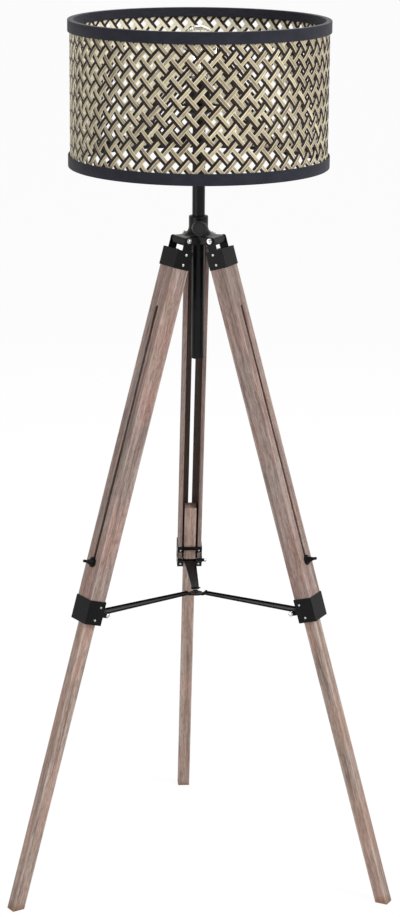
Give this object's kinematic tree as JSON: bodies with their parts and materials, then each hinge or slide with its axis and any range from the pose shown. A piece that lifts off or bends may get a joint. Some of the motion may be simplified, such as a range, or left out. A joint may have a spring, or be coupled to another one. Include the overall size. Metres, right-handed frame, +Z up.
{
  "type": "tripod floor lamp",
  "caption": "Floor lamp with an open woven drum shade on a telescopic post, a cast hub and a folding wooden tripod whose slotted legs hold sliding lower sticks",
  "frame": {"origin": "middle of the footprint of the lamp's box, on the floor", "axes": "+Z up along the post, -Y towards the front of the picture, +X to its right; the post's axis stands at x = 0, y = -0.0827"},
  "size_m": [0.6872, 0.6154, 1.545],
  "materials": {
    "black_steel": "satin black",
    "hub_iron": "black enamel, slightly uneven",
    "leg_wood": "greyish brown, weathered, matt",
    "bright_steel": "zinc plated",
    "woven_strips": "split bamboo strips, plain and black",
    "shade_fabric": "dark cotton tape",
    "holder_plastic": "black, matt",
    "bulb_glass": "opal white"
  },
  "bodies": {
    "hub": {"hub_casting": "hub_iron", "hub_bolt_rear": "bright_steel", "hub_bolt_left": "bright_steel", "hub_bolt_right": "bright_steel"},
    "knob": {"clamp_knob": "black_steel"},
    "post": {"post_tube": "black_steel", "post_bushing": "holder_plastic", "holder_cap": "holder_plastic", "holder_shell": "holder_plastic", "holder_contact": "bright_steel", "holder_ring": "holder_plastic"},
    "bulb": {"bulb_glass": "bulb_glass", "bulb_screw_cap": "bright_steel"},
    "shade": {"shade_band_bottom": "shade_fabric", "shade_band_top": "shade_fabric", "shade_wire_bottom": "black_steel", "shade_wire_top": "black_steel", "spider_washer": "black_steel", "spider_spoke_rear": "black_steel", "spider_spoke_left": "black_steel", "spider_spoke_right": "black_steel", "weave_panel_1": "woven_strips", "weave_panel_2": "woven_strips", "weave_panel_3": "woven_strips", "weave_panel_4": "woven_strips", "weave_panel_5": "woven_strips", "weave_panel_6": "woven_strips", "weave_panel_7": "woven_strips", "weave_panel_8": "woven_strips"},
    "leg_rear": {"leg_board_rear": "leg_wood", "leg_rail_a_rear": "leg_wood", "leg_rail_b_rear": "leg_wood", "leg_cap_rear": "black_steel", "leg_collar_rear": "black_steel", "stay_bolt_rear": "bright_steel"},
    "leg_left": {"leg_board_left": "leg_wood", "leg_rail_a_left": "leg_wood", "leg_rail_b_left": "leg_wood", "leg_cap_left": "black_steel", "leg_collar_left": "black_steel", "stay_bolt_left": "bright_steel"},
    "leg_right": {"leg_board_right": "leg_wood", "leg_rail_a_right": "leg_wood", "leg_rail_b_right": "leg_wood", "leg_cap_right": "black_steel", "leg_collar_right": "black_steel", "stay_bolt_right": "bright_steel"},
    "stick_rear": {"lower_stick_rear": "leg_wood"},
    "stick_left": {"lower_stick_left": "leg_wood"},
    "stick_right": {"lower_stick_right": "leg_wood"},
    "screw_rear": {"thumb_screw_rear": "black_steel"},
    "screw_left": {"thumb_screw_left": "black_steel"},
    "screw_right": {"thumb_screw_right": "black_steel"},
    "strut_rear": {"stay_rear": "black_steel"},
    "strut_left": {"stay_left": "black_steel"},
    "strut_right": {"stay_right": "black_steel"},
    "spreader": {"spreader_plate": "black_steel"}
  },
  "joints": [
    {"name": "knob_turn", "type": "hinge", "parent": "hub", "child": "knob", "pos_m": [0, -0.10767, 1.1915], "axis": [0, -1, 0], "continuous": true},
    {"name": "post_slide", "type": "slide", "parent": "hub", "child": "post", "axis": [0, 0, 1], "range_m": [-0.06, 0.18]},
    {"name": "shade_turn", "type": "hinge", "parent": "post", "child": "shade", "pos_m": [0, -0.08267, 1.4013], "axis": [0, 0, 1], "continuous": true},
    {"name": "bulb_turn", "type": "hinge", "parent": "post", "child": "bulb", "pos_m": [0, -0.08267, 1.43], "axis": [0, 0, 1], "continuous": true},
    {"name": "leg_rear_fold", "type": "hinge", "parent": "hub", "child": "leg_rear", "pos_m": [0, -0.04807, 1.17], "axis": [-1, 0, 0], "range_deg": [0, 4.2]},
    {"name": "leg_left_fold", "type": "hinge", "parent": "hub", "child": "leg_left", "pos_m": [-0.02996, -0.09997, 1.17], "axis": [0.5, -0.866, 0], "range_deg": [0, 4.2]},
    {"name": "leg_right_fold", "type": "hinge", "parent": "hub", "child": "leg_right", "pos_m": [0.02996, -0.09997, 1.17], "axis": [0.5, 0.866, 0], "range_deg": [0, 4.2]},
    {"name": "strut_rear_swing", "type": "hinge", "parent": "leg_rear", "child": "strut_rear", "pos_m": [0, 0.11796, 0.52145], "axis": [-1, 0, 0], "range_deg": [0, 37]},
    {"name": "strut_left_swing", "type": "hinge", "parent": "leg_left", "child": "strut_left", "pos_m": [-0.17376, -0.18299, 0.52145], "axis": [0.5, -0.866, 0], "range_deg": [0, 37]},
    {"name": "strut_right_swing", "type": "hinge", "parent": "leg_right", "child": "strut_right", "pos_m": [0.17376, -0.18299, 0.52145], "axis": [0.5, 0.866, 0], "range_deg": [0, 37]},
    {"name": "spreader_rise", "type": "slide", "parent": "hub", "child": "spreader", "axis": [0, 0, 1], "range_m": [0, 0.106]},
    {"name": "stick_rear_slide", "type": "slide", "parent": "leg_rear", "child": "stick_rear", "axis": [0, -0.284, 0.9588], "range_m": [0, 0.45]},
    {"name": "stick_left_slide", "type": "slide", "parent": "leg_left", "child": "stick_left", "axis": [0.246, 0.142, 0.9588], "range_m": [0, 0.45]},
    {"name": "stick_right_slide", "type": "slide", "parent": "leg_right", "child": "stick_right", "axis": [-0.246, 0.142, 0.9588], "range_m": [0, 0.45]},
    {"name": "screw_rear_turn", "type": "hinge", "parent": "stick_rear", "child": "screw_rear", "pos_m": [0, 0.13319, 0.61617], "axis": [0, 0.9588, 0.284], "continuous": true},
    {"name": "screw_left_turn", "type": "hinge", "parent": "stick_left", "child": "screw_left", "pos_m": [-0.18694, -0.1906, 0.61617], "axis": [-0.8304, -0.4794, 0.284], "continuous": true},
    {"name": "screw_right_turn", "type": "hinge", "parent": "stick_right", "child": "screw_right", "pos_m": [0.18694, -0.1906, 0.61617], "axis": [0.8304, -0.4794, 0.284], "continuous": true}
  ],
  "couplings": [
    {"joint": "leg_left_fold", "follows": "leg_rear_fold", "ratio": 1},
    {"joint": "leg_right_fold", "follows": "leg_rear_fold", "ratio": 1},
    {"joint": "strut_rear_swing", "follows": "leg_rear_fold", "ratio": 8.79},
    {"joint": "strut_left_swing", "follows": "leg_rear_fold", "ratio": 8.79},
    {"joint": "strut_right_swing", "follows": "leg_rear_fold", "ratio": 8.79},
    {"joint": "spreader_rise", "follows": "leg_rear_fold", "m_per_rad": 1.44}
  ]
}
